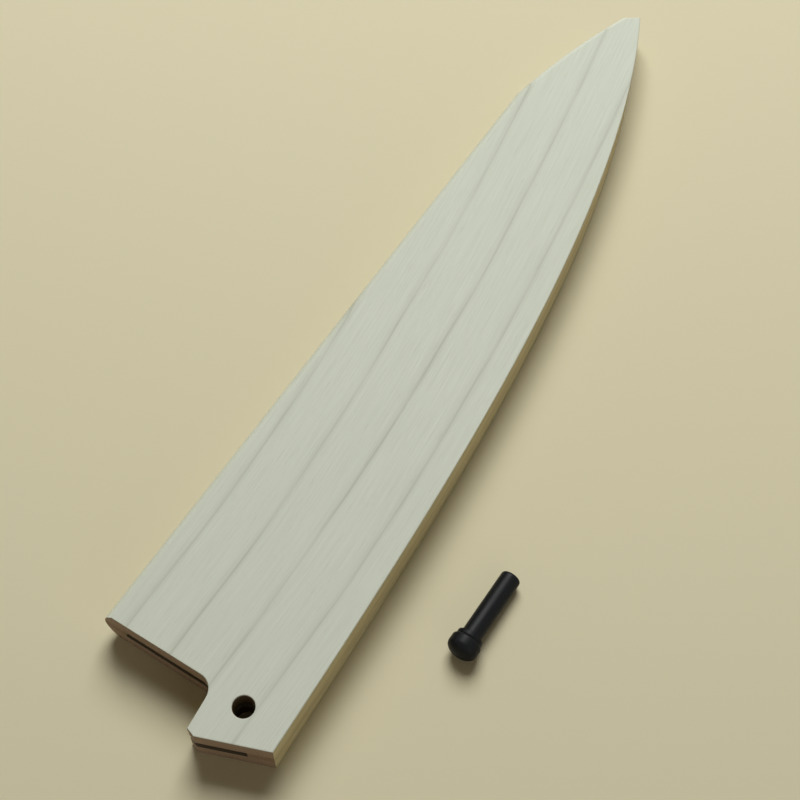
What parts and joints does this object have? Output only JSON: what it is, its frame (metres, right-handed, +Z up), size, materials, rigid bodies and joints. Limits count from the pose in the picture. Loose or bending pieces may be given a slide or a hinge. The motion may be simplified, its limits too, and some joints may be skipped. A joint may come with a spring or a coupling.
{
  "type": "wooden knife sheath",
  "caption": "Flat three-ply wooden sheath for a long kitchen knife, with a rounded back edge, a tab with a pin hole, and a loose turned pin that locks the blade in.",
  "frame": {"origin": "on the pin hole's axis, on the flat face that the sheath lies on", "axes": "+X along the sheath towards the tip, +Y towards the blade's back, +Z up through the boards along the pin hole"},
  "size_m": [0.2659, 0.0869, 0.0146],
  "materials": {
    "magnolia_board": "planed and sanded, unfinished",
    "magnolia_core": "sawn and glued, unfinished",
    "ebony_pin": "turned and oiled, satin black"
  },
  "bodies": {
    "sheath": {"front_board": "magnolia_board", "back_board": "magnolia_board", "spine_strip": "magnolia_core", "edge_strip": "magnolia_core"},
    "pin": {"retaining_pin": "ebony_pin"}
  },
  "joints": [
    {"name": "pin_lift", "type": "slide", "parent": "sheath", "child": "pin", "axis": [0, 0, 1], "range_m": [0, 0.06]}
  ]
}
